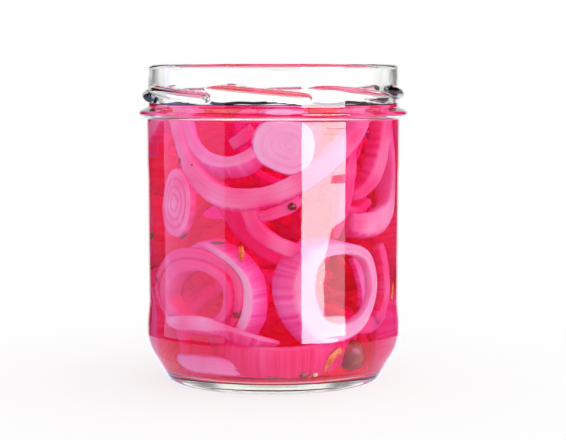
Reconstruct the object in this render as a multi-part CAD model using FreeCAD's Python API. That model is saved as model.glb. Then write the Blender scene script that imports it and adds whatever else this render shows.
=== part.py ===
"""Open wide-mouth preserving jar for an 82 mm twist-off lid, filled with brine up to the top of
the bead. Millimetres, +Z up, origin at the middle of the foot, on the plane it stands on.
The neck's front faces -Y."""
import FreeCAD, Part
import math
import os

# Overall sizes
OVERALL_HEIGHT = 99.5
BODY_RADIUS = 39.95

# Neck and rim, with heights measured down from the rim
NECK_STEP = 0.45
NECK_WALL = 2.8
RIM_OUTER_ROUND = 1.5
RIM_INNER_ROUND = 1.1

# Transfer bead under the thread
BEAD_DEPTH = 15.1
BEAD_PROJECTION = 2.95
BEAD_LAND = 1.05
BEAD_UPPER_FLANK = 1.35
BEAD_LOWER_FLANK = 1.2
BEAD_ROUND = 0.8
BEAD_ROOT_ROUND = 0.6

# Thread lugs: each falls evenly along its length and ends in a blunt hook
LUG_COUNT = 8
LUG_SPAN = 48.0
LUG_START = -31.6
LUG_DEPTH = 7.4
LUG_FALL = 3.0
LUG_WIDTH = 3.1
LUG_START_WIDTH = 1.6
LUG_PROJECTION = 1.9
LUG_ROOT = 0.5
LUG_LEAD_IN = 0.25
LUG_HOOK = 0.05

# Label panel, slightly recessed between the upper band and the heel band
BAND_DEPTH = 31.0
PANEL_DEPTH = 35.5
PANEL_TOP_RECESS = 0.15
PANEL_BASE_RECESS = 0.3
PANEL_BASE_HEIGHT = 24.3
PANEL_ROUND = 8.0

# Heel band, heel and foot
HEEL_BULGE = 0.25
HEEL_BAND_HEIGHT = 18.2
HEEL_HEIGHT = 11.4
HEEL_ANGLE = 30.0
HEEL_ROUND = 15.0
FOOT_ROUND = 2.8
FOOT_WIDTH = 3.0
FOOT_INNER_ROUND = 0.8
PUSH_UP = 3.0
PUSH_UP_STEP = 0.9
PUSH_UP_LAND_INSET = 27.95
PUSH_UP_ROUND = 60.0

# Inside
WALL = 2.65
SHOULDER_DEPTH = 22.0
SHOULDER_LENGTH = 6.0
SHOULDER_ROUND = 9.0
BASE_THICKNESS = 3.4
FLOOR_RIM_HEIGHT = 4.3
FLOOR_RIM_WIDTH = 6.0
HEEL_WALL = 3.3
FLOOR_ROUND = 5.0

# Brine, up to its flat surface
HEADSPACE = 14.6
BRINE_CLEARANCE = 0.1


def unit(a, b):
    """Unit direction from point a to point b, both (radius, height, ...)."""
    length = math.hypot(b[0] - a[0], b[1] - a[1])
    return (b[0] - a[0]) / length, (b[1] - a[1]) / length


def rounded_edges(corners):
    """Lines and tangent arcs along (radius, height, round) corners in the XZ plane.
    The first and last corners stay sharp."""
    def at(radius, height):
        return FreeCAD.Vector(radius, 0, height)

    edges = []
    start = at(*corners[0][:2])
    for before, corner, after in zip(corners, corners[1:], corners[2:]):
        arriving = unit(before, corner)
        leaving = unit(corner, after)
        dot = arriving[0] * leaving[0] + arriving[1] * leaving[1]
        turn = math.acos(max(-1.0, min(1.0, dot)))
        tangent = corner[2] * math.tan(turn / 2)
        sagitta = corner[2] * (1 / math.cos(turn / 2) - 1)
        entry = at(corner[0] - arriving[0] * tangent, corner[1] - arriving[1] * tangent)
        leave = at(corner[0] + leaving[0] * tangent, corner[1] + leaving[1] * tangent)
        inward = FreeCAD.Vector(leaving[0] - arriving[0], 0, leaving[1] - arriving[1]).normalize()
        middle = at(corner[0], corner[1]) + inward * sagitta
        edges.append(Part.LineSegment(start, entry).toShape())
        edges.append(Part.Arc(entry, middle, leave).toShape())
        start = leave
    edges.append(Part.LineSegment(start, at(*corners[-1][:2])).toShape())
    return edges


def turned(edges):
    """Solid made by turning a closed outline in the XZ plane about Z."""
    face = Part.Face(Part.Wire(edges))
    return face.revolve(FreeCAD.Vector(0, 0, 0), FreeCAD.Vector(0, 0, 1), 360)


def heel_radius(height):
    """Radius of the heel's cone at a height."""
    return BODY_RADIUS + HEEL_BULGE - (HEEL_HEIGHT - height) * math.tan(math.radians(HEEL_ANGLE))


def outer_corners():
    """Outside of the glass, from the rim down to the middle of the push-up."""
    top = OVERALL_HEIGHT
    neck = BODY_RADIUS - NECK_STEP
    bead = neck + BEAD_PROJECTION
    bead_top = top - BEAD_DEPTH + BEAD_LAND / 2
    bead_base = bead_top - BEAD_LAND
    band = BODY_RADIUS + HEEL_BULGE
    foot = heel_radius(0)
    return [
        (neck - NECK_WALL / 2, top, 0),
        (neck, top, RIM_OUTER_ROUND),
        (neck, bead_top + BEAD_UPPER_FLANK, BEAD_ROOT_ROUND),
        (bead, bead_top, BEAD_ROUND),
        (bead, bead_base, BEAD_ROUND),
        (BODY_RADIUS, bead_base - BEAD_LOWER_FLANK, BEAD_ROOT_ROUND),
        (BODY_RADIUS, top - BAND_DEPTH, PANEL_ROUND),
        (BODY_RADIUS - PANEL_TOP_RECESS, top - PANEL_DEPTH, PANEL_ROUND),
        (BODY_RADIUS - PANEL_BASE_RECESS, PANEL_BASE_HEIGHT, PANEL_ROUND),
        (band, HEEL_BAND_HEIGHT, PANEL_ROUND),
        (band, HEEL_HEIGHT, HEEL_ROUND),
        (foot, 0, FOOT_ROUND),
        (foot - FOOT_WIDTH, 0, FOOT_INNER_ROUND),
        (foot - FOOT_WIDTH - PUSH_UP_STEP, PUSH_UP_STEP, FOOT_INNER_ROUND),
        (BODY_RADIUS - PUSH_UP_LAND_INSET, PUSH_UP, PUSH_UP_ROUND),
        (0, PUSH_UP, 0),
    ]


def inner_corners():
    """Inside of the glass, from the middle of the floor up to the rim."""
    top = OVERALL_HEIGHT
    floor = PUSH_UP + BASE_THICKNESS
    body = BODY_RADIUS - PANEL_BASE_RECESS - WALL + HEEL_BULGE / 2
    neck = BODY_RADIUS - NECK_STEP - NECK_WALL
    slope = math.radians(HEEL_ANGLE)
    set_in = HEEL_WALL / math.cos(slope)
    floor_edge = heel_radius(FLOOR_RIM_HEIGHT) - set_in
    heel_top = FLOOR_RIM_HEIGHT + (body - floor_edge) / math.tan(slope)
    return [
        (0, floor, 0),
        (BODY_RADIUS - PUSH_UP_LAND_INSET, floor, PUSH_UP_ROUND),
        (floor_edge - FLOOR_RIM_WIDTH, FLOOR_RIM_HEIGHT, PUSH_UP_ROUND / 3),
        (floor_edge, FLOOR_RIM_HEIGHT, FLOOR_ROUND),
        (body, heel_top, HEEL_ROUND - HEEL_WALL),
        (body, top - SHOULDER_DEPTH - SHOULDER_LENGTH, SHOULDER_ROUND),
        (neck, top - SHOULDER_DEPTH, SHOULDER_ROUND),
        (neck, top, RIM_INNER_ROUND),
        (neck + NECK_WALL / 2, top, 0),
    ]


def inset(corners, gap):
    """The same corners moved to their left by gap, square to both edges that meet there."""
    normals = []
    for a, b in zip(corners, corners[1:]):
        along = unit(a, b)
        normals.append((-along[1], along[0]))
    moved = []
    for i, (radius, height, bend) in enumerate(corners):
        first = normals[max(i - 1, 0)]
        second = normals[min(i, len(normals) - 1)]
        share = gap / (1 + first[0] * second[0] + first[1] * second[1])
        turns_left = first[0] * second[1] - first[1] * second[0] > 0
        bend_change = -gap if turns_left else gap
        moved.append((radius + share * (first[0] + second[0]),
                      height + share * (first[1] + second[1]),
                      bend + bend_change if bend else 0))
    return moved


def lug_section(t):
    """Closed section of a lug at t, 0 at its thin start and 1 at its hook: half an ellipse
    that stands on the neck, with its straight side sunk into the glass."""
    rise = min(1.0, t / LUG_LEAD_IN)
    ease = rise * rise * (3 - 2 * rise)
    hook = math.sqrt(max(0.0, 1 - max(0.0, 1 - (1 - t) / LUG_HOOK) ** 2))
    half_width = (LUG_START_WIDTH + (LUG_WIDTH - LUG_START_WIDTH) * ease) / 2
    half_width *= 0.35 + 0.65 * hook
    reach = LUG_ROOT + LUG_PROJECTION * ease * hook - LUG_ROOT / 4 * (1 - ease * hook)
    angle = math.radians(LUG_START + LUG_SPAN * t)
    out = FreeCAD.Vector(math.sin(angle), -math.cos(angle), 0)
    root = BODY_RADIUS - NECK_STEP - LUG_ROOT
    height = OVERALL_HEIGHT - LUG_DEPTH - LUG_FALL * t
    points = []
    for step in range(9):
        around = math.pi * (step / 8 - 0.5)
        lift = FreeCAD.Vector(0, 0, height + half_width * math.sin(around))
        points.append(out * (root + reach * math.cos(around)) + lift)
    crown = Part.BSplineCurve()
    crown.interpolate(points)
    return Part.Wire([crown.toShape(), Part.LineSegment(points[-1], points[0]).toShape()])


def lug():
    """One lug, lofted through sections that are closer together at its two ends."""
    stations = (0.0, 0.08, 0.18, 0.28, 0.4, 0.6, 0.8, 0.92, 0.965, 0.99, 1.0)
    sections = [lug_section(t) for t in stations]
    return Part.makeLoft(sections, True, False)


def jar():
    """The glass: one turned body with the thread lugs joined to its neck."""
    middle = FreeCAD.Vector(0, 0, PUSH_UP)
    floor = FreeCAD.Vector(0, 0, PUSH_UP + BASE_THICKNESS)
    outline = rounded_edges(outer_corners())
    outline.append(Part.LineSegment(middle, floor).toShape())
    outline += rounded_edges(inner_corners())
    first = lug()
    lugs = []
    for i in range(LUG_COUNT):
        turned_lug = first.copy()
        turned_lug.rotate(FreeCAD.Vector(0, 0, 0), FreeCAD.Vector(0, 0, 1), 360 * i / LUG_COUNT)
        lugs.append(turned_lug)
    return turned(outline).fuse(lugs)


def brine():
    """The jar's contents as one solid: the inside less a film of clearance, up to the level."""
    level = OVERALL_HEIGHT - HEADSPACE
    corners = [c for c in inset(inner_corners(), BRINE_CLEARANCE) if c[1] < level]
    wall = corners[-1][0]
    corners.append((wall, level, 0))
    outline = rounded_edges(corners)
    edge = FreeCAD.Vector(wall, 0, level)
    surface = FreeCAD.Vector(0, 0, level)
    floor = FreeCAD.Vector(0, 0, corners[0][1])
    outline.append(Part.LineSegment(edge, surface).toShape())
    outline.append(Part.LineSegment(surface, floor).toShape())
    return turned(outline)


os.makedirs("parts", exist_ok=True)
for name, shape in (("jar", jar()), ("brine", brine())):
    shape.exportStep(f"parts/{name}.step")
    print(name, "valid", shape.isValid(), "solids", len(shape.Solids),
          "volume mm3", round(shape.Volume), "box", shape.BoundBox)
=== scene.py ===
"""The look of an open glass jar of pickled red onions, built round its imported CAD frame.
Sizes in the tables are millimetres; everything is put into the meshes in metres."""
import math

import bpy
import numpy as np
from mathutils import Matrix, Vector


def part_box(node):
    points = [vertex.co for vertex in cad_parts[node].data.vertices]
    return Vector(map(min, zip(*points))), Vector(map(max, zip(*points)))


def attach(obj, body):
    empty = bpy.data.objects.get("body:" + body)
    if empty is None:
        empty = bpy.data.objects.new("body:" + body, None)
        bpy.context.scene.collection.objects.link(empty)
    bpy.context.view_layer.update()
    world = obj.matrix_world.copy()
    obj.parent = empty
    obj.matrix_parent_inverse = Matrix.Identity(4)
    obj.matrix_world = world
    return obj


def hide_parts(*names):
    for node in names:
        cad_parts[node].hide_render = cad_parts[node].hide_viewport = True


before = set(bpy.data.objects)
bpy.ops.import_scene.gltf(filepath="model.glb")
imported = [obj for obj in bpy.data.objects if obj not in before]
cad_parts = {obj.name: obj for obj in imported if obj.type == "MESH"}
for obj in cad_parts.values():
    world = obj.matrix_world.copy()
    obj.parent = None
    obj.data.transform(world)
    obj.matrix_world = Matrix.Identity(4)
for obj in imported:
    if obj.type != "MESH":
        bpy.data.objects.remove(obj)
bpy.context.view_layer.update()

MM = 0.001
TAU = 2 * math.pi

# Glass, outside: heights from the foot, depths from the rim
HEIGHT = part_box("jar")[1][2] / MM
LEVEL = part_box("brine")[1][2] / MM
BODY = 39.95
NECK = BODY - 0.45
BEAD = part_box("jar")[1][0] / MM
BEAD_TOP = HEIGHT - 15.1 + 0.525
BEAD_BASE = BEAD_TOP - 1.05
BAND = BODY + 0.25
HEEL_SLOPE = math.radians(30)
HEEL_HEIGHT = 11.4
FOOT = BAND - HEEL_HEIGHT * math.tan(HEEL_SLOPE)

# Radii of the rim's middle and of the small hole that outlines leave round the axis
RIM_MIDDLE = NECK - 1.4
AXIS = 0.02

# Glass, inside
NECK_INSIDE = NECK - 2.8
BODY_INSIDE = BODY - 2.825
PUSH_UP = 3.0
FLOOR_MIDDLE = PUSH_UP + 3.4
FLOOR_EDGE = 4.3
INTO_WALL = 0.2

# Thread lugs
LUGS = 8
LUG_SPAN = 48.0
LUG_START = -31.6
LUG_TOP = HEIGHT - 7.4
LUG_FALL = 3.0
LUG_WIDTH = 3.1
LUG_START_WIDTH = 1.6
LUG_PROUD = 1.9
LUG_ROOT = 0.5
LUG_LEAD_IN = 0.25
LUG_HOOK = 0.05

# Relief of the mould: depth from the rim and height of its joint rings, then azimuth, height
# and size of the code dots on the heel
JOINT_RINGS = ((18.1, 0.025), (19.0, 0.035), (20.6, 0.03))
JOINT_RING_WIDTH = 0.16
CODE_DOTS = ((-33, 8.8, 1), (-16.6, 8.7, 0.6), (-9.6, 8.6, 0.9), (2.6, 8.7, 0.8),
             (11.6, 8.7, 0.7), (-64, 9.2, 0.8), (-60, 8.9, 0.8), (-56.7, 8.6, 0.8),
             (-50.8, 8.4, 0.8))
DOT_PROUD = 0.22
DOT_RADIUS = 0.42
DOTS_FROM_AXIS = 38
UP_THE_HEEL = 0.87

# Waves of the pressed wall, and the angles of its mesh as from, to and steps between
OUTSIDE_WAVES = 0.012
INSIDE_WAVES = 0.07
GLASS_ANGLES = ((-68, 18, 150), (18, 92, 68), (92, 266, 64), (266, 292, 24))
BRINE_ANGLES = 288

# The brine climbs the glass: capillary length and slope at the wall
CAPILLARY = 2.35
WALL_SLOPE = math.radians(64)
MENISCUS = 2 * CAPILLARY * math.sin(WALL_SLOPE / 2)

# Slices flatten against the glass within the pressed zone, down to the pressed gap
PRESSED_GAP = 0.35
PRESSED_ZONE = 1.6

# Sections of the onion's layers: the smaller the power of the sine, the squarer the section
BAND_SQUARENESS = 0.32
RING_SQUARENESS = 0.4
RING_STATIONS = 72
RING_LEAN = 0.15
RING_BOW = 0.02
HEART_LAYERS = 4
GROOVE_DEPTH = 0.18
GROOVE_WIDTH = 0.16

# Each slice has its lines and streaks from a stretch of the pattern of its own
PATTERN_STEP = 40.0

# Studio, in metres and degrees
CARD_DISTANCE = 0.8
TABLE_HALF = 3.0
CAMERA_DISTANCE = 0.530
CAMERA_UNDER_RIM = 0.0039
CAMERA_TIP = 4.896
CAMERA_TURN = -0.333


# ---- surfaces

def rounded(corners, arc_step, line_step):
    """Outline through (radius, height, round) corners: each corner is replaced by the arc
    tangent to its two sides, and sides and arcs are cut into even steps."""
    points = [np.array(corners[0][:2], float)]

    def straight(a, b):
        count = max(1, int(np.ceil(np.hypot(*(b - a)) / line_step)))
        points.extend(a + (b - a) * np.linspace(0, 1, count + 1)[1:, None])

    for before, corner, after in zip(corners, corners[1:], corners[2:]):
        here = np.array(corner[:2], float)
        arriving = here - before[:2]
        leaving = np.array(after[:2]) - here
        arriving /= np.hypot(*arriving)
        leaving /= np.hypot(*leaving)
        turn = math.acos(np.clip(arriving @ leaving, -1, 1))
        tangent = corner[2] * math.tan(turn / 2)
        entry = here - arriving * tangent
        straight(points[-1], entry)
        side = np.sign(arriving[0] * leaving[1] - arriving[1] * leaving[0])
        normal = np.array([-arriving[1], arriving[0]]) * side
        centre = entry + normal * corner[2]
        steps = max(3, int(np.ceil(turn * corner[2] / arc_step)))
        swing = np.linspace(0, turn, steps + 1)[1:, None]
        points.extend(centre - normal * corner[2] * np.cos(swing)
                      + arriving * corner[2] * np.sin(swing))
    straight(points[-1], np.array(corners[-1][:2], float))
    return np.array(points)


def refined(outline, bands):
    """The outline with more points on its straight stretches inside (low, high, step) bands
    of heights, for relief that stands on them."""
    points = [outline[:1]]
    for a, b in zip(outline, outline[1:]):
        middle = (a[1] + b[1]) / 2
        step = min([band[2] for band in bands if band[0] < middle < band[1]], default=math.inf)
        count = max(1, int(np.ceil(np.hypot(*(b - a)) / step)))
        points.append(a + (b - a) * np.linspace(0, 1, count + 1)[1:, None])
    return np.vstack(points)


def loft(sections, closed=False, **fields):
    """Closed surface through sections, an array of (stations, points round, 3). Neighbouring
    points make quads; each section closes on itself. A closed loft also joins its last
    station to its first; an open one ends in a fan to the middle of each end section.
    Extra values are stored for each point."""
    stations, around = sections.shape[:2]
    vertices = sections.reshape(-1, 3)
    values = {k: np.broadcast_to(v, (stations, around)).reshape(-1) for k, v in fields.items()}
    rows = np.arange(stations if closed else stations - 1)[:, None]
    cols = np.arange(around)[None, :]
    ring_a, ring_b = rows * around, (rows + 1) % stations * around
    nxt = (cols + 1) % around
    quads = np.stack([ring_a + cols, ring_a + nxt, ring_b + nxt, ring_b + cols], -1)
    low, high = cols / around, (cols + 1) / around
    start, end = rows / stations, (rows + 1) / stations
    uv = np.stack([np.stack(np.broadcast_arrays(u, v), -1)
                   for u, v in ((start, low), (start, high), (end, high), (end, low))], 2)
    quads, uv = quads.reshape(-1, 4), uv.reshape(-1, 4, 2)
    fans, fan_uv = np.zeros((0, 3), int), np.zeros((0, 3, 2))
    if not closed:
        tips = np.array([sections[0].mean(0), sections[-1].mean(0)])
        vertices = np.vstack([vertices, tips])
        for key, value in values.items():
            ends = value.reshape(stations, around)[[0, -1]].mean(1)
            values[key] = np.concatenate([value, ends])
        first = np.arange(around)
        after = (first + 1) % around
        tip_a, tip_b = stations * around, stations * around + 1
        last = (stations - 1) * around
        fans = np.vstack([np.stack([after, first, first * 0 + tip_a], -1),
                          np.stack([first + last, after + last, first * 0 + tip_b], -1)])
        fan_uv = np.zeros((len(fans), 3, 2))
        fan_uv[:, :, 1] = np.tile(np.stack([first, first + 1, first + 0.5], -1), (2, 1)) / around
        fan_uv[around:, :, 0] = (stations - 1) / stations
    one, two, three, four = (vertices[quads[:, i]] for i in range(4))
    volume = np.sum(one * np.cross(two, three)) + np.sum(one * np.cross(three, four))
    if volume < 0:
        quads, uv = quads[:, ::-1], uv[:, ::-1]
        fans, fan_uv = fans[:, ::-1], fan_uv[:, ::-1]
    return {"vertices": vertices, "quads": quads, "uv": uv, "fans": fans, "fan_uv": fan_uv,
            "values": values}


def make_piece(name, parts, material, replaced=()):
    """Joins lofted parts, in millimetres, into one smooth mesh object at the origin."""
    offsets = np.cumsum([0] + [len(p["vertices"]) for p in parts])
    vertices = np.vstack([p["vertices"] for p in parts]) * MM
    quads, fans = (np.vstack([p[key] + o for p, o in zip(parts, offsets)])
                   for key in ("quads", "fans"))
    uv = np.concatenate([p[key].ravel() for key in ("uv", "fan_uv") for p in parts])
    mesh = bpy.data.meshes.new(name)
    mesh.from_pydata(vertices, [], quads.tolist() + fans.tolist(), shade_flat=False)
    mesh.uv_layers.new(name="UVMap").uv.foreach_set("vector", uv.astype(np.float32))
    for key in parts[0]["values"]:
        field = mesh.attributes.new(key, "FLOAT", "POINT")
        joined = np.concatenate([p["values"][key] for p in parts]).astype(np.float32)
        field.data.foreach_set("value", joined)
    mesh.validate()
    mesh.materials.append(material)
    piece = bpy.data.objects.new(name, mesh)
    bpy.context.scene.collection.objects.link(piece)
    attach(piece, "root")
    if replaced:
        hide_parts(*replaced)
    return piece


def circle(count):
    """Even angles once round, as many as count."""
    return np.linspace(0, TAU, count, endpoint=False)


def unit(rows):
    """Rows of vectors, each made one long."""
    return rows / np.linalg.norm(rows, axis=1, keepdims=True)


def squared(wave, power):
    """A sine or cosine with its size raised to a power under 1, which squares a circle."""
    return np.sign(wave) * np.abs(wave) ** power


def at(azimuth, radius, height):
    """Point at an azimuth in degrees, 0 at the front and 90 to +X."""
    a = math.radians(azimuth)
    return radius * math.sin(a), -radius * math.cos(a), height


def turned(outline, angles, lift=0):
    """Sections of a turned surface: each outline point carried round the axis through the
    angles, 0 at the front and growing towards +X, with lift added to its radius."""
    radius = outline[:, 0, None] + lift
    height = outline[:, 1, None] + 0 * angles
    return np.stack([radius * np.sin(angles), -radius * np.cos(angles), height], -1)


# ---- materials

def linear(code):
    """sRGB hex colour to linear RGBA."""
    srgb = np.array([int(code[i:i + 2], 16) for i in (1, 3, 5)]) / 255
    rgb = np.where(srgb <= 0.04045, srgb / 12.92, ((srgb + 0.055) / 1.055) ** 2.4)
    return (*rgb.tolist(), 1.0)


WHITE = linear("#FFFFFF")


def node(tree, kind, settings=None, **links):
    """One shader node with its settings; a link is given as socket=value or socket=(node, out)."""
    made = tree.nodes.new("ShaderNode" + kind)
    for key, value in (settings or {}).items():
        setattr(made, key, value)
    for key, value in links.items():
        socket = made.inputs[int(key[1:])] if key[0] == "_" and key[1:].isdigit() \
            else made.inputs[key.replace("_", " ")]
        if isinstance(value, tuple) and len(value) == 2 and hasattr(value[0], "outputs"):
            tree.links.new(value[0].outputs[value[1]], socket)
        else:
            socket.default_value = value
    return made


def combine(tree, operation, first, second, **settings):
    """Link to the sum, product or maximum of two values or links."""
    return node(tree, "Math", {"operation": operation, **settings}, _0=first, _1=second), 0


def eased(tree, value, start, end, before, after):
    """Link that eases from before to after while the value goes from start to end."""
    return node(tree, "MapRange", {"interpolation_type": "SMOOTHSTEP"}, Value=value,
                From_Min=start, From_Max=end, To_Min=before, To_Max=after), 0


def stored(tree, name):
    """Link to a value that the mesh stores for each of its points."""
    return node(tree, "Attribute", {"attribute_name": name}), "Fac"


def ramp(tree, value, low, high):
    """Link to a colour that goes from low to high, each a (value, hex colour)."""
    made = node(tree, "ValToRGB", Fac=value)
    for element, (position, colour) in zip(made.color_ramp.elements, (low, high)):
        element.position = position
        element.color = linear(colour)
    return made, 0


def blend(tree, share, first, second, kind="MIX"):
    """Link to a blend of two colours or links, by share."""
    return node(tree, "Mix", {"data_type": "RGBA", "blend_type": kind}, Factor=share,
                _6=first, _7=second), 2


def link_out(tree, shader, out, socket="Surface"):
    """Links a shader to the output node."""
    tree.links.new(shader.outputs[0], out.inputs[socket])


def new_material(name):
    """An empty material with its output node."""
    material = bpy.data.materials.new(name)
    material.use_nodes = True
    tree = material.node_tree
    tree.nodes.clear()
    return material, tree, tree.nodes.new("ShaderNodeOutputMaterial")


def let_light_in(tree, surface, out, share, tint):
    """Camera and mirror rays meet the surface; a share of the lamp light on its way in, and of
    the light scattered by what is inside, goes straight through it and takes its tint."""
    rays = node(tree, "LightPath")
    lamp = combine(tree, "MAXIMUM", (rays, "Is Shadow Ray"), (rays, "Is Diffuse Ray"))
    passing = combine(tree, "MULTIPLY", lamp, share)
    clear = node(tree, "BsdfTransparent", Color=linear(tint))
    mix = node(tree, "MixShader", Fac=passing, _1=(surface, 0), _2=(clear, 0))
    link_out(tree, mix, out)


def clear_body(tree, out, index, mirror, tint, density):
    """Smooth see-through surface with the tint of its reflection, round an absorbing depth."""
    depth = node(tree, "VolumeAbsorption", Color=linear(tint), Density=density)
    link_out(tree, depth, out, "Volume")
    return node(tree, "BsdfPrincipled", Base_Color=WHITE, Roughness=0.0, IOR=index,
                Transmission_Weight=1.0, Specular_Tint=mirror)


def soda_lime_glass():
    """Pressed soda-lime glass, fire-polished: clear, with a faint green-yellow in its depth
    that only shows along the thick base. Its reflection is white where it meets air and dark
    where it is wetted, since brine all but stops the reflection there."""
    material, tree, out = new_material("clear_soda_lime_glass")
    mirror = blend(tree, stored(tree, "wetted"), WHITE, linear("#595959"))
    glass = clear_body(tree, out, 1.5, mirror, "#CCEEB0", 4.5)
    link_out(tree, glass, out)
    return material


def pink_vinegar_brine():
    """Vinegar brine dyed by red onion skins: clear, pink when thin and crimson in depth."""
    material, tree, out = new_material("pink_vinegar_brine")
    liquid = clear_body(tree, out, 1.34, linear("#595959"), "#FE2ED7", 72.0)
    let_light_in(tree, liquid, out, 1.0, "#FFFFFF")
    return material


def pickled_onion():
    """Pickled red onion flesh: see-through at its edges, pale pink on the cut faces with fine
    lines along the layer, and a magenta skin with streaks across it. Sunk in brine of almost
    its own index it has hardly any shine."""
    material, tree, out = new_material("pickled_red_onion_flesh")
    skin, along, across, dye = (stored(tree, name)
                                for name in ("skin", "along_mm", "across_mm", "dye"))
    # fine lines run along the layer on the cut face
    lines_at = node(tree, "CombineXYZ", X=along, Y=across, Z=dye)
    stretch = node(tree, "Mapping", Vector=(lines_at, 0), Scale=(0.05, 1.4, 7.0))
    lines = node(tree, "TexNoise", Vector=(stretch, 0), Scale=1.0, Detail=3.0)
    # skin streaks run from cut face to cut face
    stripe = node(tree, "Mapping", Vector=(lines_at, 0), Scale=(0.55, 0.05, 5.0))
    streaks = node(tree, "TexNoise", Vector=(stripe, 0), Scale=1.0, Detail=4.0, Roughness=0.6)
    cut = ramp(tree, (lines, "Fac"), (0.3, "#FFAAD0"), (0.7, "#FFC4E0"))
    rind = ramp(tree, (streaks, "Fac"), (0.38, "#F05AAE"), (0.64, "#FF96CE"))
    flesh = blend(tree, skin, cut, rind)
    # the dye soaks in unevenly, in patches of about 12 mm
    place = node(tree, "TexCoord")
    patches = node(tree, "TexNoise", Vector=(place, "Object"), Scale=1 / (12 * MM), Detail=1.0)
    uneven = node(tree, "MapRange", Value=(patches, "Fac"), From_Min=0.3, From_Max=0.7,
                  To_Min=-0.3, To_Max=0.3)
    # each slice's stored dye value adds to these patches; on some slices at the left it is raised as
    # painted shade
    soaked = combine(tree, "ADD", dye, (uneven, 0), use_clamp=True)
    deep = blend(tree, soaked, flesh, linear("#FF78AE"), "MULTIPLY")
    relief = node(tree, "Bump", Strength=0.12, Distance=0.0002, Height=(lines, "Fac"))
    body = node(tree, "BsdfPrincipled", Base_Color=deep, Roughness=0.3, IOR=1.04,
                Subsurface_Weight=1.0, Subsurface_Radius=(1.0, 0.5, 0.65),
                Subsurface_Scale=0.0025, Normal=(relief, 0))
    # soaked flesh lets most of the red light on through each face
    let_light_in(tree, body, out, 0.97, "#FFDCEA")
    return material


def spice(name, dark, light, grain):
    """Dry spice soaked in brine: mottled from dark to light, with grains of the given
    size in millimetres."""
    material, tree, out = new_material(name)
    place = node(tree, "TexCoord")
    mottle = node(tree, "TexNoise", Vector=(place, "Object"), Scale=1 / (grain * MM), Detail=3.0)
    tint = ramp(tree, (mottle, "Fac"), (0.35, dark), (0.65, light))
    relief = node(tree, "Bump", Strength=0.5, Distance=0.0002, Height=(mottle, "Fac"))
    body = node(tree, "BsdfPrincipled", Base_Color=tint, Roughness=0.4, Normal=(relief, 0))
    link_out(tree, body, out)
    return material


# ---- glass

def glass_outside():
    """Corners of the outside, from the rim's middle down to the middle of the push-up."""
    return [
        (RIM_MIDDLE, HEIGHT, 0), (NECK, HEIGHT, 1.39),
        (NECK, BEAD_TOP + 1.35, 0.6), (BEAD, BEAD_TOP, 0.8), (BEAD, BEAD_BASE, 0.8),
        (BODY, BEAD_BASE - 1.2, 0.6),
        (BODY, HEIGHT - 31.0, 8), (BODY - 0.15, HEIGHT - 35.5, 8),
        (BODY - 0.3, 24.3, 8), (BAND, 18.2, 8), (BAND, HEEL_HEIGHT, 15),
        (FOOT, 0, 2.8), (FOOT - 3.0, 0, 0.8), (FOOT - 3.9, 0.9, 0.8),
        (12.0, PUSH_UP, 60), (AXIS, PUSH_UP, 0),
    ]


def glass_inside(spread=0.0):
    """Corners of the inside, from the middle of the floor up to the rim's middle, moved
    outwards into the glass by spread."""
    heel = 3.3 / math.cos(HEEL_SLOPE)
    edge = BAND - (HEEL_HEIGHT - FLOOR_EDGE) * math.tan(HEEL_SLOPE) - heel
    top = FLOOR_EDGE + (BODY_INSIDE - edge) / math.tan(HEEL_SLOPE)
    return [
        (AXIS, FLOOR_MIDDLE - spread, 0), (12.0, FLOOR_MIDDLE - spread, 60),
        (edge - 6.0, FLOOR_EDGE - spread, 20), (edge + spread * 0.6, FLOOR_EDGE - spread, 5),
        (BODY_INSIDE + spread, top - spread * 0.3, 11.7),
        (BODY_INSIDE + spread, HEIGHT - 28.0, 9), (NECK_INSIDE + spread, HEIGHT - 22.0, 9),
        (NECK_INSIDE + spread, HEIGHT, 1.1), (RIM_MIDDLE, HEIGHT, 0),
    ]


def lug_lift(angles, heights):
    """How far the thread lugs stand out of the neck. Each has half an ellipse for its section,
    sunk into the neck by its root. Its crest falls evenly along it; it grows out of the
    neck over its first quarter and ends in a blunt hook."""
    lift = np.zeros((len(heights), len(angles)))
    pitch = 360 / LUGS
    local = (np.degrees(angles) - LUG_START) % pitch
    for turn in (0, 1):
        t = (local + turn * pitch)[None, :] / LUG_SPAN
        s = np.clip(t, 0, 1)
        rise = np.clip(s / LUG_LEAD_IN, 0, 1)
        ease = rise * rise * (3 - 2 * rise)
        hook = np.sqrt(np.clip(1 - np.clip(1 - (1 - s) / LUG_HOOK, 0, 1) ** 2, 0, 1))
        half = (LUG_START_WIDTH + (LUG_WIDTH - LUG_START_WIDTH) * ease) / 2
        off = (heights[:, None] - LUG_TOP + LUG_FALL * s) / (half * (0.35 + 0.65 * hook))
        reach = LUG_ROOT + LUG_PROUD * ease * hook
        ridge = reach * np.sqrt(np.clip(1 - off * off, 0, 1)) - LUG_ROOT
        lift = np.maximum(lift, ridge * (t < 1))
    return lift


def mould_marks(angles, heights):
    """Relief of the mould below the bead and on the heel: three faint joint rings, each a bell
    curve up the wall, and a row of small round code dots, each a flat-topped bell both ways."""
    rings = sum(size * np.exp(-((heights - HEIGHT + depth) / JOINT_RING_WIDTH) ** 2)
                for depth, size in JOINT_RINGS)
    lift = np.repeat(rings[:, None], len(angles), 1)
    for azimuth, height, size in CODE_DOTS:
        swing = np.radians((np.degrees(angles) - azimuth + 180) % 360 - 180) * DOTS_FROM_AXIS
        away = np.hypot(swing, (heights[:, None] - height) / UP_THE_HEEL)
        lift += DOT_PROUD * size * np.exp(-(away / DOT_RADIUS) ** 4)
    return lift


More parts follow.
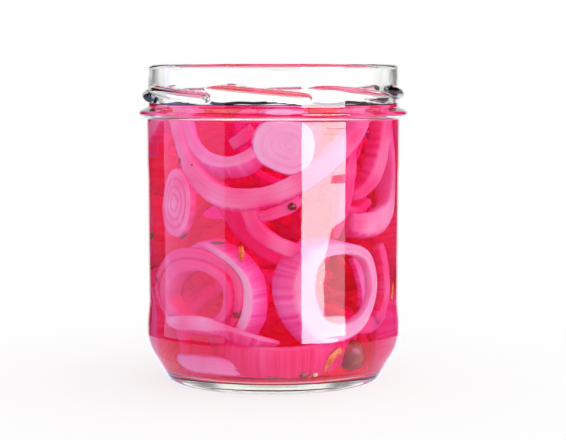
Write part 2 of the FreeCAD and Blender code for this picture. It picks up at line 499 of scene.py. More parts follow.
def jar_glass(material):
    """The glass as one turned surface with its lugs, mould marks and slight waves. Its angles
    are closest together where the dots are, and its rows on the neck, at the joint rings, at
    the dots and where the meniscus ends."""
    outside = refined(rounded(glass_outside(), 0.45, 3.0),
                      ((85.9, HEIGHT, 0.28), (77.8, 82.2, 0.18), (7.0, 10.6, 0.26)))
    brim = LEVEL + MENISCUS
    inside = refined(rounded(glass_inside(), 0.6, 3.0),
                     ((brim - 1.5, brim + 1.5, 0.25), (HEIGHT - 6, HEIGHT, 0.5)))
    outline = np.vstack([outside[::-1], inside[::-1][1:]])
    angles = np.radians(np.concatenate([np.linspace(start, end, steps, endpoint=False)
                                        for start, end, steps in GLASS_ANGLES]))
    count = len(outside)
    heights = outline[:, 1]
    outer, inner = heights[:count], heights[count:]
    on_neck = ((outer > BEAD_TOP + 1.4) & (outer < HEIGHT - 1.5))[:, None]
    on_body = (outer < BEAD_BASE - 1.5)[:, None]
    lift = np.vstack([lug_lift(angles, outer) * on_neck + mould_marks(angles, outer) * on_body
                      + wall_waves(angles, outer, OUTSIDE_WAVES, 3),
                      wall_waves(angles, inner, INSIDE_WAVES, 11)])
    # no relief on the floor and under the foot, within 30 mm of the axis
    steep = np.clip((outline[:, 0] - 30) / 6, 0, 1)[:, None]
    sections = turned(outline, angles, lift * steep)
    wetted = (np.arange(len(outline)) >= count) & (heights < brim)
    piece = make_piece("jar_glass", [loft(sections, wetted=wetted[:, None])], material,
                       ["jar"])
    # lamp light goes through the clear wall unchanged
    piece.visible_shadow = False
    piece.visible_diffuse = False


def wall_waves(angles, heights, depth, seed):
    """Slow waves of a pressed wall: a few sines round the jar and up it, with seeded phases."""
    draw = np.random.default_rng(seed)
    waves = np.zeros((len(heights), len(angles)))
    for around, up in ((3, 0.05), (5, 0.09), (9, 0.14), (14, 0.22), (21, 0.17)):
        phase_a, phase_b = draw.uniform(0, TAU, 2)
        size = depth / (1 + around / 6)
        waves += size * np.sin(around * angles + phase_a
                               + np.sin(up * heights[:, None] + phase_b) * 2)
    return waves


# ---- brine

def meniscus(edge):
    """Surface of the brine from the wall to the axis. Where its slope is p, a liquid against a
    wall stands 2c sin(p/2) above its flat level, c being the capillary length, and lies
    c (ln tan(p/4) + 2 cos(p/2)) further out than where that sum is nought."""
    slope = np.linspace(WALL_SLOPE, math.radians(1.2), 40)
    sums = np.log(np.tan(slope / 4)) + 2 * np.cos(slope / 2)
    radius = edge - CAPILLARY * (sums[0] - sums)
    height = LEVEL + 2 * CAPILLARY * np.sin(slope / 2)
    flat = np.linspace(radius[-1], AXIS, 12)[1:]
    return np.vstack([np.stack([radius, height], -1), np.stack([flat, flat * 0 + LEVEL], -1)])


def brine_body(material):
    """The brine reaches just into the wall, and climbs it in a meniscus."""
    edge = NECK_INSIDE + INTO_WALL
    surface = meniscus(edge)
    wall = [c for c in glass_inside(INTO_WALL) if c[1] < LEVEL]
    outline = rounded(wall + [(edge, LEVEL + MENISCUS, 0)], 0.6, 3.0)
    angles = circle(BRINE_ANGLES)
    sections = turned(np.vstack([outline, surface[1:]]), angles)
    make_piece("pink_brine", [loft(sections)], material, replaced=["brine"])


def inside_limits():
    """Radius of the glass inside against height up the wall, then height against radius over
    the floor, for keeping the contents off the glass."""
    outline = rounded(glass_inside(), 0.6, 2.0)
    lowest = np.argmin(outline[:, 1])
    wall, ground = outline[lowest:], outline[:lowest + 1]
    return wall[:, 1], wall[:, 0], ground[:, 0], ground[:, 1]


WALL_HEIGHTS, WALL_RADII, GROUND_RADII, GROUND_HEIGHTS = inside_limits()


def pressed(points):
    """Points held inside the jar: beyond a soft zone, the distance from the axis closes in on
    the wall as a hyperbolic tangent, so that slices flatten against the glass. Heights close
    in on the floor and on the brine's surface in the same way."""
    x, y, z = points[..., 0], points[..., 1], points[..., 2]
    low = np.interp(np.hypot(x, y), GROUND_RADII, GROUND_HEIGHTS) + PRESSED_GAP + PRESSED_ZONE
    high = LEVEL - PRESSED_GAP - PRESSED_ZONE
    z = np.where(z < low, low - PRESSED_ZONE * np.tanh((low - z) / PRESSED_ZONE), z)
    z = np.where(z > high, high + PRESSED_ZONE * np.tanh((z - high) / PRESSED_ZONE), z)
    radius = np.hypot(x, y) + 1e-9
    limit = np.interp(z, WALL_HEIGHTS, WALL_RADII) - PRESSED_GAP - PRESSED_ZONE
    over = radius - limit
    held = np.where(over > 0, limit + PRESSED_ZONE * np.tanh(over / PRESSED_ZONE), radius)
    return np.stack([x * held / radius, y * held / radius, z], -1)


# ---- onion

def placed(points, centre, facing, roll):
    """Points turned so that their +Z looks along facing = (azimuth, elevation), azimuth 0 to
    the front and 90 to +X, rolled about it, and moved to centre."""
    azimuth, elevation = np.radians(facing)
    out = np.array([np.sin(azimuth) * np.cos(elevation), -np.cos(azimuth) * np.cos(elevation),
                    np.sin(elevation)])
    right = np.array([np.cos(azimuth), np.sin(azimuth), 0.0])
    up = np.cross(out, right)
    c, s = np.cos(np.radians(roll)), np.sin(np.radians(roll))
    basis = np.stack([c * right + s * up, -s * right + c * up, out])
    return points @ basis + np.array(centre, float)


def onion_ring(centre, facing, size, thick, width, roll, dye, seed):
    """One layer of a cut onion. Its path is an ellipse of half-axes size, made uneven by a few
    sines; a rounded rectangle thick by width, thinner at its rims, is carried along it. The
    outer side carries the skin, and the layer leans and bows as one away from the middle of
    the bulb does."""
    draw = np.random.default_rng(seed)
    angle = circle(RING_STATIONS)
    uneven = sum(a * np.sin(k * angle + p) for k, a, p in
                 zip((2, 3, 5), draw.uniform(0.4, 1.0, 3) * np.array([0.05, 0.03, 0.015]),
                     draw.uniform(0, TAU, 3)))
    rx, ry = size
    path = np.stack([rx * (1 + uneven) * np.cos(angle), ry * (1 + uneven) * np.sin(angle)], -1)
    tangent = unit(np.roll(path, -1, 0) - np.roll(path, 1, 0))
    normal = np.stack([tangent[:, 1], -tangent[:, 0]], -1)
    s = circle(20)
    cos, sin = np.cos(s), np.sin(s)
    section_r = squared(cos, RING_SQUARENESS) * thick / 2
    section_w = squared(sin, RING_SQUARENESS) * width / 2
    section_r = section_r * (1 - 0.25 * (section_w / (width / 2)) ** 2)
    swell = 1 + 0.12 * np.sin(2 * angle + draw.uniform(0, TAU))
    lean = RING_LEAN * section_w - RING_BOW * section_w ** 2
    radial = section_r * swell[:, None] + lean
    flat = path[:, None] + normal[:, None] * radial[:, :, None]
    lift = np.broadcast_to(section_w, radial.shape)
    points = np.concatenate([flat, lift[:, :, None]], -1)
    points = pressed(placed(points, centre, facing, roll))
    steps = np.linalg.norm(np.diff(path, axis=0), axis=1)
    along_mm = np.concatenate([[0], np.cumsum(steps)])[:, None] + PATTERN_STEP * seed
    # full skin on the outer side, a quarter of it on the inner one
    skin = np.clip((cos - 0.45) * 6, 0, 1) + 0.25 * np.clip((-cos - 0.45) * 6, 0, 1)
    return loft(points, True, skin=skin, along_mm=along_mm,
                across_mm=section_r + 0.3 * section_w, dye=dye)


def onion_heart(centre, facing, size, width=5.0, roll=0.0, seams=0.5, dye=0.0, seed=0,
                fine=False):
    """A slice through the heart: a disc whose two faces have a groove where one layer meets
    the next, and a skin round its edge. seams is the share of skin colour in the grooves."""
    draw = np.random.default_rng(seed)
    angle = circle(88 if fine else 48)
    rim = np.linspace(0.02, 1, 30 if fine else 13)
    groove = GROOVE_DEPTH * np.exp(-((rim[:, None] * HEART_LAYERS
                                      - np.arange(1, HEART_LAYERS)) / GROOVE_WIDTH) ** 2).sum(1)
    face = width / 2 - groove - 0.5 * rim ** 6
    side = np.linspace(1, -1, 8)[1:-1]
    across = np.concatenate([rim, 1 + 0.05 * (1 - side ** 2), rim[::-1]])
    height = np.concatenate([face, side * (width / 2 - 0.5), -face[::-1]])
    uneven = 1 + sum(a * np.sin(k * angle + p) for k, a, p in
                     zip((2, 3, 4), (0.06, 0.03, 0.02), draw.uniform(0, TAU, 3)))
    drift = (1 - np.minimum(across, 1))[:, None] * draw.uniform(-0.12, 0.12, 2)[None, :]
    x = size[0] * (across[:, None] * np.cos(angle) * uneven + drift[:, :1])
    y = size[1] * (across[:, None] * np.sin(angle) * uneven + drift[:, 1:])
    points = np.stack([x, y, height[:, None] + 0 * x], -1)
    points = pressed(placed(points, centre, facing, roll))
    edge = np.concatenate([rim * 0, side * 0 + 1, rim * 0])[:, None]
    seam = np.concatenate([groove, side * 0, groove[::-1]])[:, None] * 5.5 * seams
    return loft(points, skin=np.clip(edge + seam, 0, 1), along_mm=size[0] * angle,
                across_mm=across[:, None] * size[0], dye=dye)


def path_through(knots, closed, step):
    """Smooth path through rows of knots. Each stretch is the cubic whose slope at a knot is half
    the way from the knot before it to the knot after it; step is the spacing in millimetres."""
    knots = np.array(knots, float)
    count = len(knots) if closed else len(knots) - 1
    if closed:
        before, start, end, after = (np.roll(knots, k, 0) for k in (1, 0, -1, -2))
    else:
        padded = np.vstack([2 * knots[0] - knots[1], knots, 2 * knots[-1] - knots[-2]])
        before, start, end, after = (padded[k:k + count] for k in range(4))
    run = np.hypot((end - start)[:, 0] * 0.62, (end - start)[:, 1]).sum()
    t = np.linspace(0, count, max(16, int(run / step)), endpoint=not closed)
    i = np.minimum(t.astype(int), count - 1)
    u = (t - i)[:, None]
    a, b, c, d = before[i], start[i], end[i], after[i]
    return 0.5 * (2 * b + (c - a) * u + (2 * a - 5 * b + 4 * c - d) * u ** 2
                  + (3 * b - a - 3 * c + d) * u ** 3)


def onion_band(knots, deep, dye, seed, closed=False, side=1, step=1.0, narrow=0.0):
    """One layer of a slice that lies against the glass. Its knots are rows of azimuth in
    degrees, height, depth behind the glass, thickness of the layer and, if any, tilt. Its
    cut face is turned to the glass, the layer runs deep millimetres inwards, and tilt turns
    its skin side to the glass. Travelling anticlockwise the skin side is outside; side=-1 is
    for a path that travels the other way. On a closed path, narrow is the share by which the
    layer is deeper at the first knot, and less deep halfway round."""
    draw = np.random.default_rng(seed)
    knots = [(*knot, 0)[:5] for knot in knots]
    azimuth, height, depth, thick, tilt = path_through(knots, closed, step).T
    wall = np.interp(height, WALL_HEIGHTS, WALL_RADII) - depth
    out = np.stack([np.sin(np.radians(azimuth)), -np.cos(np.radians(azimuth)), 0 * azimuth], -1)
    path = out * wall[:, None] + np.array([0, 0, 1]) * height[:, None]
    tangent = unit(np.roll(path, -1, 0) - np.roll(path, 1, 0) if closed
                   else np.gradient(path, axis=0))
    skinward = unit(np.cross(tangent, out) * side)
    facing = np.cross(skinward, tangent) * side
    turn = np.radians(tilt)[:, None]
    outer = skinward * np.cos(turn) + facing * np.sin(turn)
    face = facing * np.cos(turn) - skinward * np.sin(turn)
    s = circle(22)
    across, inwards = squared(np.cos(s), BAND_SQUARENESS), squared(np.sin(s), BAND_SQUARENESS)
    t = circle(len(path))[:, None]
    phase = draw.uniform(0, TAU, 4)
    thick = thick[:, None] * (1 + 0.05 * np.sin(2 * t + phase[0]) + 0.03 * np.sin(5 * t + phase[1]))
    width = deep * (1 + 0.06 * np.sin(3 * t + phase[2]) + narrow * np.cos(t))
    crown = 1 - 0.10 * (inwards > 0) * inwards ** 6
    u = across * thick / 2 * crown
    v = (inwards - 1) * width / 2 - 0.22 * across ** 2
    points = path[:, None] + outer[:, None] * u[..., None] + face[:, None] * v[..., None]
    points = pressed(points)
    along = np.concatenate([[0], np.cumsum(np.linalg.norm(np.diff(path, axis=0), axis=1))])
    # full skin on the outer side, a quarter of it on the inner one
    skin = np.clip((across - 0.80) * 7, 0, 1) + 0.25 * np.clip((-across - 0.85) * 6, 0, 1)
    return loft(points, closed, skin=skin, along_mm=along[:, None] + PATTERN_STEP * seed,
                across_mm=u + 0.3 * v, dye=dye)


def wall_ring(azimuth, height, half, depth, thick, lean, toward, deep, dye, seed, sweep=360):
    """A ring against the glass, or the part of one that sweep degrees make, as a band on an
    uneven ellipse with half-axes half. Its plane leans, so the skin side shows on the side at
    the angle toward."""
    draw = np.random.default_rng(seed + 500)
    angle = np.radians(180 + 40 * seed * (sweep < 360) + np.arange(0, sweep, 36))
    size = 1 + draw.uniform(-0.06, 0.06, len(angle))
    knots = np.stack([azimuth + np.degrees(half[0] / 35.5) * size * np.cos(angle),
                      height + half[1] * size * np.sin(angle),
                      depth + 0 * angle, thick * (1 + draw.uniform(-0.12, 0.12, len(angle))),
                      lean * np.cos(angle - math.radians(toward))], -1)
    return onion_band(knots, deep, dye, seed, sweep == 360, step=1.6)


def front_slices():
    """The slices that press against the front of the glass. Each band's knots are followed by
    how far it runs inwards, its dye, which on some slices at the left also carries painted
    shade, and its seed."""
    return [
        # big U-shaped arc over the whole upper half
        onion_band([(-60, 88, 2.6, 4.2), (-54.5, 81, 1.8, 4.6), (-48.3, 73.4, 1.4, 5, 2),
            (-42.9, 68.1, 1.2, 5.5, 4), (-33.7, 62.9, 0.9, 6, 8), (-25.4, 60.4, 0.4, 6.3, 10),
            (-16.8, 59.6, 0.4, 6.4, 10), (-6.2, 60.1, 0.4, 6.5, 10), (3.1, 61.9, 0.4, 6.5, 10),
            (12.4, 64.7, 0.4, 6.4, 8), (23.3, 69, 0.6, 6.2, 6), (35.2, 74, 1.4, 5.6, 2),
            (46, 79, 2.4, 5.2), (56, 86, 4, 5)], 6, 0.7, 1),
        # the arc nested in it, with its magenta side turned to the front
        onion_band([(-55, 92, 4.5, 3.6, 20), (-52, 84, 4, 3.8, 24), (-46, 78.5, 3.6, 4, 28),
            (-40, 74.5, 3, 4.2, 32), (-31, 71.4, 2.4, 4.6, 36), (-22, 70.8, 2, 4.8, 36),
            (-14, 72.2, 1.8, 4.6, 34), (-8, 74.6, 1.8, 4.2, 30)], 6.5, 0.45, 2),
        onion_band([(-22, 75.4, 5, 3.4), (-16, 77.4, 4, 3.8), (-10, 80.4, 5, 3.6)], 5, 0.8, 3),
        onion_heart((3.1, -33.2, 75.4), (5, 0), (8.5, 8.5), 5, 20, 0.15, -0.1, 1, True),
        # this heart's dye value also darkens it as painted shade for the left of the jar, which gets less
        # light
        onion_heart((-27.3, -21.3, 57.2), (-50, 0), (6.6, 9.9), 4, 0, 1, 0.7, 4, True),
        # pieces below the big arc
        onion_band([(-12, 53.4, 4.6, 2.8), (-7, 54, 3, 3.2), (-1.6, 54.7, 2.8, 3.6), (8, 56.9, 3.2, 3.6),
            (14, 59.5, 4.6, 3.2)], 5, 0.7, 5),
        onion_band([(-19, 61, 5, 4.2), (-12.3, 55.5, 2.6, 4.6), (-8.7, 50.7, 2, 4.8), (-1.6, 47, 1.8, 5),
            (7.9, 44.3, 2, 4.8), (18, 42.4, 4, 4)], 6, 0.75, 6),
        onion_band([(-40, 62, 9, 5.5), (-26, 56, 9.5, 7), (-17, 49.6, 9, 7), (-6.7, 45, 8, 6.2),
            (5, 41, 8.4, 5)], 6, 1, 7),
        # nest of three rings, lower left; the dye values of the first two also darken them as painted
        # shade for the left of the jar, which gets less light
        onion_band([(-65, 29.4, 0.8, 4.6, -14), (-57, 22.8, 2.6, 3.8, -8), (-40, 19.6, 4.6, 3.4),
            (-26, 23.6, 2, 3.2, 10), (-21.8, 30.7, 0.6, 3.2, 14), (-26.5, 36.4, 0.6, 3.4, 8),
            (-39, 39.1, 0.6, 3.8), (-55.5, 36.8, 0.8, 4.4, -8)], 7, 1, 8, closed=True),
        onion_band([(-74, 30, 2, 3.4, -14), (-62, 20, 5, 3.2, -8), (-40, 18, 8, 3.2),
            (-22, 21.5, 4, 3, 12), (-16.8, 29.5, 0.6, 3.2, 16), (-20, 37.8, 0.8, 3.2, 10),
            (-38, 42.5, 1.2, 3.2), (-60, 40, 2, 3.4, -8)], 8, 1, 9, closed=True),
        onion_band([(-64, 36, 8, 2.2), (-52, 41.4, 6, 2.4), (-38, 44.8, 4, 2.8, 4),
            (-29.5, 43.6, 1.8, 3.4, 12), (-22, 40.8, 0.8, 3.6, 18), (-14.2, 35.2, 0.5, 4, 24),
            (-12.2, 29.4, 0.5, 4, 26), (-13.6, 24, 0.8, 4, 24), (-18, 19.4, 2.6, 3.6, 18),
            (-25, 17.6, 6, 3, 12)], 8, 0.2, 10, side=-1),
        # thick ring, lower right, with its streaked side to the left
        onion_band([(15, 32.6, 0.5, 10.2, 34), (21, 21.6, 0.5, 8, 24), (34, 18.8, 0.6, 5.4, 6),
            (47.5, 21.6, 0.8, 4, -8), (55.6, 30.8, 0.8, 3.4, -14), (50.5, 40.8, 0.7, 3.4, -8),
            (36.5, 44, 0.6, 3.6, 4), (21, 42.2, 0.5, 6.2, 22)], 6.4, 0.2, 11, closed=True, narrow=0.5),
        onion_band([(45.5, 41, 4.6, 2.2), (49, 36, 3.8, 3), (51.5, 30.5, 3.8, 2.6), (51.5, 24.5, 4.8, 1)],
            2.5, 0.3, 12),
        # right-hand side
        onion_band([(70, 92, 2.2, 6.5), (67.7, 82, 1.2, 7.4), (65, 77, 0.8, 7.6), (61.4, 71, 0.8, 7.2),
            (57, 65.8, 1.4, 6.2), (50, 61.2, 3, 4.6), (43, 59.4, 4.6, 3.2)], 6, 0.95, 13),
        onion_band([(43, 76, 4.5, 3), (41, 70, 2.6, 4.2), (38.6, 64.7, 2.2, 5.2), (37.4, 58.7, 2.4, 4.8),
            (35.5, 52.7, 3.2, 3.2), (33, 47, 4.6, 2.2)], 5, 1, 15),
        onion_band([(40.2, 51.9, 0.5, 6.6, 10), (47.3, 51.3, 0.5, 7.2, 12), (58.8, 51.6, 0.5, 7.4, 12),
            (70.9, 54.8, 0.6, 6.4, 10), (76, 60, 1.4, 5, 6), (80, 68, 3, 4.2), (81, 80, 5, 4)],
            7, 0.6, 16),
        onion_band([(43, 55.5, 5.4, 2.4), (50, 55.2, 5.6, 2.6), (60, 57.4, 6, 2.6)], 4, 1, 17),
        onion_band([(-92, 72, 2, 5), (-82, 78, 0.8, 5.8), (-72, 82, 1.2, 5.6), (-62, 89, 3, 5)],
            6, 0.6, 18),
        # slice lying in front of the nest, its cut face giving way to its magenta side; its dye value
        # also darkens it as painted shade for the left of the jar, which gets less light
        onion_band([(-68, 20.4, 5, 1.4), (-60, 20.4, 1.8, 3.2, 4), (-51, 20.6, 0.6, 4.6, 6),
            (-41, 21.2, 0.5, 4.7, 8), (-30.9, 21.2, 0.5, 4, 16), (-21.8, 20.8, 0.5, 2.6, 36),
            (-12.1, 19.3, 0.8, 1.9, 46), (-4, 17.8, 1.8, 1.5, 40), (3, 16.6, 3.4, 1.2, 30)], 5, 0.6, 19),
        # big slice lying near the floor, its streaked side to the front
        onion_ring((2.5, -12.5, 15.2), (-4, 77), (17.4, 21.6), 4.2, 9.4, 0, 0.95, 20),
        onion_band([(-60, 10.4, 5, 2.4), (-50, 9.4, 3.6, 4.2), (-34, 9.2, 3.2, 5.2), (-22, 8.8, 3.8, 4.2),
            (-14, 8.2, 5.4, 2.6)], 6, 0, 21),
        onion_band([(62, 44, 1.6, 3.6), (66, 38, 1.2, 4.2), (68, 30, 1, 4.4), (64, 23, 1.6, 4.2),
            (56, 18.5, 3, 3.6)], 4, 1, 23),
        onion_band([(34, 20.2, 4.4, 3), (46, 19.4, 3, 4.4), (58, 19.6, 2.4, 4.6), (68, 22, 3, 4)],
            6, 1, 24),
    ]


def wall_slices():
    """Slices against the sides and the back of the glass: rings, arcs and hearts by turns on a
    staggered grid, moved about by a seeded draw."""
    draw = np.random.default_rng(31)
    for i in range(22):
        column, row = divmod(i, 3)
        azimuth = 109 + 21 * column + draw.uniform(-6, 6) + 9 * (row == 1)
        height = (20, 44, 68)[row] + draw.uniform(-4, 4)
        lean, toward = draw.uniform(8, 36), draw.uniform(0, 360)
        kind = (i * 7) % 5
        if kind == 4:
            facing, size = (azimuth, draw.uniform(-10, 20)), draw.uniform(6, 9, 2)
            yield onion_heart(at(azimuth, 32, height), facing, size, dye=0.4, seed=60 + i)
            continue
        half = draw.uniform(9, 15, 2) * ((1.3, 1.2) if kind == 1 else (1, 0.9))
        thick = draw.uniform(3.0, 4.6)
        # slices towards the sides lie deeper, and some of those near them are darker
        more_dye = 0.45 if column in (1, 2, 5, 6) else 0
        depth = draw.uniform(0.5, 2.5) + (4 if column in (0, 1, 6, 7) else 0)
        deep, dye = draw.uniform(5, 8), draw.uniform(0.3, 0.9) + more_dye
        yield wall_ring(azimuth, height, half, depth, thick, lean, toward, deep, dye, 60 + i,
                        216 if kind == 1 else 360)
        if kind % 2 == 0:
            deep, dye = draw.uniform(5, 8), draw.uniform(0.3, 0.8) + more_dye
            yield wall_ring(azimuth + 1, height - 0.5, half - thick - 0.4, depth + 0.5,
                            thick * 0.85, lean, toward, deep, dye, 90 + i)


def inner_slices():
    """Slices in the middle of the jar, tumbled by a seeded draw, and five flat ones that close
    the straight ways through the jar."""
    draw = np.random.default_rng(7)
    for i in range(16):
        azimuth = 360 * (i * 0.618 % 1)
        centre = at(azimuth, draw.uniform(2, 17), 14 + 66 * (i * 0.382 % 1)) + np.array([0, 3, 0])
        facing = (azimuth + draw.uniform(-40, 40), draw.uniform(-20, 70))
        big = draw.uniform(9, 19)
        size = (big, big * draw.uniform(0.75, 1))
        thick, width, roll = draw.uniform(3.0, 4.6), draw.uniform(4, 8), draw.uniform(0, 360)
        dye = draw.uniform(0.5, 1)
        yield onion_ring(centre, facing, size, thick, width, roll, dye, 120 + i)
    for i, centre in enumerate(((2, 14, 14), (-11, 12, 72), (12, 20, 60), (-14, 16, 40),
                               (-18, 4, 14))):
        yield onion_heart(centre, (0, 10), (10, 10), roll=60 * i, dye=0.7, seed=150 + i)


# ---- spices

def spot(azimuth, height, depth):
    """Point at a depth behind the glass, for an azimuth and a height."""
    return at(azimuth, np.interp(height, WALL_HEIGHTS, WALL_RADII) - depth, height)


def grain(centre, size, facing=(0, 0), roll=0.0, rough=0.05, seed=0):
    """A seed or berry: an ellipsoid with half-axes size, wrinkled by a few sines."""
    draw = np.random.default_rng(seed)
    up = np.linspace(0.06, math.pi - 0.06, 20)[:, None]
    around = circle(24)[None, :]
    wrinkles = 1 + sum(rough / k * np.sin(k * around + a) * np.sin(m * up + b)
                       for k, m, a, b in zip((2, 3, 5, 7), (3, 5, 4, 6),
                                             draw.uniform(0, TAU, 4), draw.uniform(0, TAU, 4)))
    points = np.stack([size[0] * np.sin(up) * np.cos(around) * wrinkles,
                       size[1] * np.sin(up) * np.sin(around) * wrinkles,
                       size[2] * np.cos(up) + 0 * around], -1)
    return loft(placed(points, centre, facing, roll))


def strewn(count, seed, first):
    """Places for spices behind the glass at the sides and the back, by a seeded draw: azimuth,
    height, depth, a free turn and a seed that counts on from first."""
    draw = np.random.default_rng(seed)
    for i in range(count):
        azimuth = 70 + 220 * (i + draw.uniform(0, 1)) / count
        yield azimuth, draw.uniform(8, 78), draw.uniform(0.9, 2.4), draw.uniform(0, 360), first + i


def spices():
    """Whole spices and herb bits among the slices, one piece for each kind. Their places are
    azimuth, height and depth behind the glass."""
    pepper = [grain(spot(9, 57.2, 2.6), (1.2, 1.1, 1.1), rough=0.3, seed=1),
              grain(spot(-41, 69.3, 1.4), (0.4, 0.3, 0.3), seed=2)]
    pepper += [grain(spot(a, h, d + 0.8), (1.4, 1.3, 1.3), (a, turn), rough=0.2, seed=seed)
               for a, h, d, turn, seed in strewn(7, 41, 200)]
    berry = [grain(spot(48, 11.6, 7.4), (4.2, 3.6, 3.9), rough=0.16, seed=3)]
    mustard = [grain(spot(21.6, 7.0, 1.1), (0.8, 0.75, 0.8), rough=0.01, seed=4)]
    mustard += [grain(spot(a, h, d), (0.9, 0.85, 0.9), (a, turn), rough=0.01, seed=seed)
                for a, h, d, turn, seed in strewn(10, 42, 220)]
    caraway = [grain(spot(-49, 70.4, 1.6), (0.6, 0.9, 0.5), (-48, 0), 20, seed=5),
               grain(spot(15.5, 7.2, 1.2), (1.5, 1.1, 1), (15, 0), 10, 0.2, seed=6),
               grain(spot(-16.4, 24.9, 2.4), (1.9, 1.2, 0.7), (-17, 10), 15, 0.3, seed=7)]
    caraway += [grain(spot(a, h, d), (0.7, 1.3, 0.6), (a, 20), turn, seed=seed)
                for a, h, d, turn, seed in strewn(9, 43, 240)]
    peel = [onion_band([(-15.6, 45.4, 1.9, 1.4), (-15, 43.4, 1.4, 1.6), (-15.4, 41.2, 1.9, 1.2)],
                       0.8, 0, 8),
            onion_band([(36.5, 12.6, 3, 1.6), (33, 13, 2.2, 2.2), (29, 11.2, 1.8, 2),
                        (26.4, 7.8, 2.2, 1.4)], 0.9, 0, 9),
            onion_band([(17.8, 6.2, 1.4, 1.8), (19.4, 7.8, 1.2, 2.4)], 0.9, 0, 10)]
    peel += [onion_band([(a, h, d, 1.4), (a + 2, h + 2, d, 1.7), (a + 3, h + 5, d, 1.2)], 0.9, 0,
                        seed) for a, h, d, turn, seed in strewn(6, 44, 260)]
    leaf = [onion_band([(-54, 47.9, 3, 0.5), (-50, 47.2, 2.2, 1.3), (-46.5, 48.3, 3, 0.4)],
                       0.4, 0, 11),
            onion_band([(-34, 45.8, 4, 0.4), (-29, 46.1, 3.4, 0.9), (-24.5, 46, 4, 0.4)],
                       0.4, 0, 12),
            onion_band([(-4, 6.2, 1.2, 0.7), (3, 6.3, 0.9, 1.1), (10, 6.8, 1.2, 0.6)],
                       0.5, 0, 13)]
    leaf += [onion_band([(a, h, d, 1), (a + 4, h + 1, d, 2.2), (a + 8, h + 1, d, 0.8)], 0.5, 0,
                        seed) for a, h, d, turn, seed in strewn(4, 45, 280)]
    for name, parts, *look in (
            ("black_peppercorns", pepper, "wrinkled_black_pepper", "#500A0C", "#982A20", 0.5),
            ("allspice_berry", berry, "dull_brown_allspice", "#8A3C28", "#B87048", 3.0),
            ("mustard_seeds", mustard, "smooth_yellow_mustard", "#E8B070", "#FFE6B8", 1.2),
            ("brown_caraway_seeds", caraway, "ridged_brown_caraway", "#720C10", "#B83028", 0.8),
            ("orange_peel_strips", peel, "pitted_orange_peel", "#D4560A", "#FA9A22", 0.9),
            ("bay_leaf_bits", leaf, "olive_green_bay_leaf", "#565028", "#948444", 1.5)):
        make_piece(name, parts, spice(*look))


# ---- studio

def studio():
    """A white backdrop of limited width, a dark front with soft boxes that only show as
    reflections, and a pale floor. Camera rays see plain white; rays through the glass,
    mirrored rays and diffuse rays each have a light of their own."""
    world = bpy.data.worlds.new("studio")
    bpy.context.scene.world = world
    world.use_nodes = True
    tree = world.node_tree
    tree.nodes.clear()
    rays = node(tree, "LightPath")
    place = node(tree, "TexCoord")
    split = node(tree, "SeparateXYZ", Vector=(place, "Generated"))
    flat = node(tree, "Math", {"operation": "ARCTAN2"}, _0=(split, "X"), _1=(split, "Y"))
    # swing is 0 straight behind the jar and 180 degrees at the camera
    swing = node(tree, "Math", {"operation": "ABSOLUTE"}, _0=(flat, 0)), 0
    # through the glass: the bright backdrop, the dimmer front and the light overhead
    backdrop = eased(tree, swing, math.radians(17.5), math.radians(25), 1.14, 0.36)
    front = eased(tree, swing, math.radians(28), math.radians(42), 0.0, 0.32)
    above = eased(tree, (split, "Z"), 0.2, 0.36, 0.0, 1.5)
    through = combine(tree, "MAXIMUM", combine(tree, "ADD", backdrop, front), above)
    # mirrored: the backdrop's edge, and the light on the table below the horizon
    mirror = eased(tree, swing, math.radians(18), math.radians(26), 1.0, 0.03)
    lift = eased(tree, (split, "Z"), -0.165, -0.18, 0.0, 0.95)
    shine = combine(tree, "ADD", mirror, lift)
    # diffuse: the jar is lit a little more from its right
    lamps = node(tree, "MapRange", Value=(split, "X"), From_Min=-1.0, From_Max=1.0,
                 To_Min=0.5, To_Max=1.6)
    # a refracted ray counts as glossy too, so transmission is asked last
    strength = (lamps, 0)
    for kind, seen in (("Glossy", shine), ("Transmission", through), ("Camera", 1.0)):
        strength = node(tree, "Mix", {"data_type": "FLOAT"}, _0=(rays, f"Is {kind} Ray"),
                        _2=strength, _3=seen), 0
    # the light on the table, which the heel mirrors, is cool
    tint = blend(tree, lift, WHITE, linear("#D2E0F2"))
    light = node(tree, "Background", Color=tint, Strength=strength)
    out = tree.nodes.new("ShaderNodeOutputWorld")
    link_out(tree, light, out)

    soft_box("left_soft_box", "#A8B4F8", 2.2, [(-0.107, -114, -42.7), (0.6, -114, -42.7)])
    # the right soft box ends in a stepped edge, with a dimmer card beyond it
    stepped = [(-0.107, 57.5), (-0.098, 58.8), (-0.092, 52), (-0.086, 46), (-0.070, 44.3),
               (-0.058, 46.5), (-0.045, 45.5), (-0.033, 50), (-0.024, 52.5), (-0.021, 58),
               (-0.018, 66), (0.6, 66)]
    soft_box("right_soft_box", "#FFFAFF", 14.5, [(z, 24.5, end) for z, end in stepped])
    soft_box("right_fill_card", "#F0E8FF", 4.0, [(z, end, 66) for z, end in stepped[:-1]])
    floor()


def stage_piece(name, points, faces, material, unseen_by):
    """Flat or curved sheet of the studio, left out by the kinds of ray in unseen_by."""
    mesh = bpy.data.meshes.new(name)
    mesh.from_pydata(points, [], faces)
    mesh.materials.append(material)
    piece = bpy.data.objects.new(name, mesh)
    bpy.context.scene.collection.objects.link(piece)
    for kind in unseen_by:
        setattr(piece, "visible_" + kind, False)


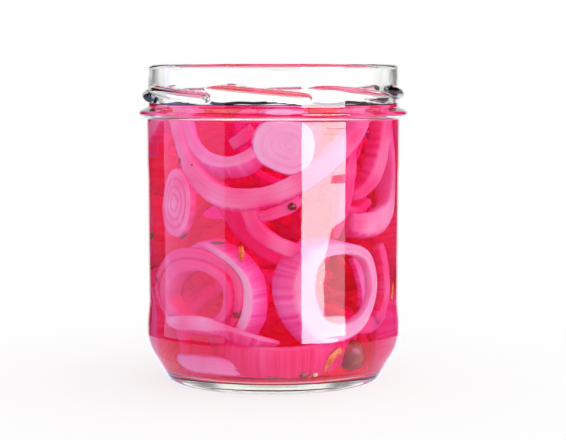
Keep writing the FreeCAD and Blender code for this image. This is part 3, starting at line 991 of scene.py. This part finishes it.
def soft_box(name, tint, strength, rows):
    """Upright glowing card on a cylinder round the jar, given by rows of its height, start
    azimuth and end azimuth. Only reflections see it."""
    material, tree, out = new_material(name)
    glow = node(tree, "Emission", Color=linear(tint), Strength=strength)
    link_out(tree, glow, out)
    rows = np.array(rows, float)
    columns = 12
    azimuth = np.radians(rows[:, 1:2] + (rows[:, 2:3] - rows[:, 1:2]) * np.linspace(0, 1, columns))
    points = np.stack([CARD_DISTANCE * np.sin(azimuth), -CARD_DISTANCE * np.cos(azimuth),
                       rows[:, :1] + 0 * azimuth], -1).reshape(-1, 3)
    first = (np.arange(len(rows) - 1)[:, None] * columns + np.arange(columns - 1)).reshape(-1)
    faces = np.stack([first, first + 1, first + columns + 1, first + columns], -1)
    stage_piece(name, points.tolist(), faces.tolist(), material,
                ("camera", "diffuse", "transmission", "volume_scatter", "shadow"))


def floor():
    """Pale matt table. The camera sees it close to white, with the jar's soft shadow; rays
    through the glass see less of its white."""
    material, tree, out = new_material("pale_matt_table")
    matt = node(tree, "BsdfDiffuse", Color=linear("#F6F6F6"))
    white = node(tree, "Emission", Color=WHITE, Strength=1.0)
    rays = node(tree, "LightPath")
    place = node(tree, "TexCoord")
    away = node(tree, "VectorMath", {"operation": "LENGTH"}, _0=(place, "Object"))
    fade = eased(tree, (away, "Value"), 0.05, 0.22, 0.7, 1.0)
    direct = combine(tree, "MULTIPLY", (rays, "Is Camera Ray"), fade)
    bent = combine(tree, "MULTIPLY", (rays, "Is Transmission Ray"), 0.35)
    mix = node(tree, "MixShader", Fac=combine(tree, "MAXIMUM", direct, bent), _1=(matt, 0),
               _2=(white, 0))
    link_out(tree, mix, out)
    corners = [(x * TABLE_HALF, y * TABLE_HALF, 0) for x, y in ((-1, -1), (1, -1), (1, 1), (-1, 1))]
    stage_piece("table", corners, [(0, 1, 2, 3)], material, ("glossy",))


def camera():
    """Slightly under the rim's height, tipped down to the jar."""
    data = bpy.data.cameras.new("camera")
    data.sensor_width = 36.0
    data.lens = 106.2
    data.clip_start = 0.05
    view = bpy.data.objects.new("camera", data)
    bpy.context.scene.collection.objects.link(view)
    view.location = (0, -CAMERA_DISTANCE, HEIGHT * MM - CAMERA_UNDER_RIM)
    view.rotation_euler = (math.radians(90 - CAMERA_TIP), 0, math.radians(CAMERA_TURN))
    bpy.context.scene.camera = view


onion = pickled_onion()
jar_glass(soda_lime_glass())
brine_body(pink_vinegar_brine())
make_piece("onion_slices", [*front_slices(), *wall_slices(), *inner_slices()], onion)
spices()
studio()
camera()
bpy.context.scene.view_settings.view_transform = "Standard"
